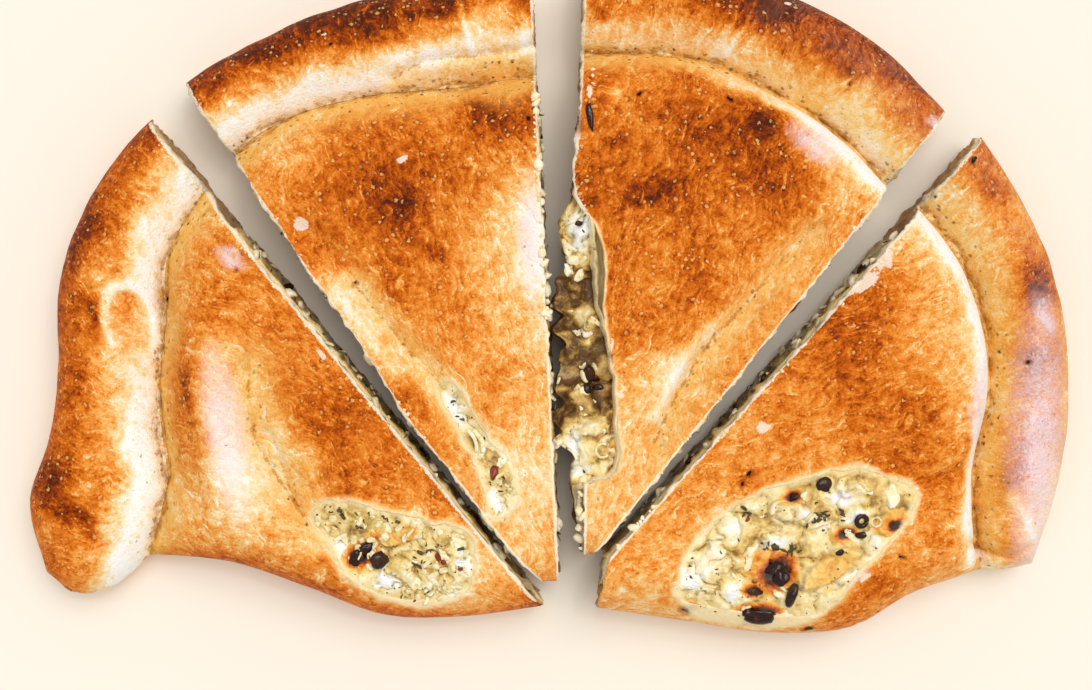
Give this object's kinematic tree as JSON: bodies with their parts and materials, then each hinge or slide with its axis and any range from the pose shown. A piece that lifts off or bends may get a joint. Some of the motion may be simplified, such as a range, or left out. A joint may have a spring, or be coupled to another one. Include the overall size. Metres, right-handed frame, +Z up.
{
  "type": "calzone",
  "caption": "Half-moon calzone with a thick rolled rim, cut into wedges set slightly apart, with torn windows that show a creamy cheese and olive filling.",
  "frame": {"origin": "centre of the overall box, at the base that lies on the surface", "axes": "+X along the half-moon's straight front edge, +Y from that edge towards the round rim, +Z up"},
  "size_m": [0.3429, 0.2216, 0.0353],
  "materials": {
    "crust": "baked dough, golden to dark brown, satin with a thin oil sheen",
    "filling": "moist creamy cheese with herbs, olives and toasted spots"
  },
  "bodies": {
    "root": {"slice1_crust": "crust", "slice2_crust": "crust", "slice3_crust": "crust", "slice4_crust": "crust", "slice1_filling": "filling", "slice2_filling": "filling", "slice3_filling": "filling", "slice4_filling": "filling"}
  },
  "joints": []
}
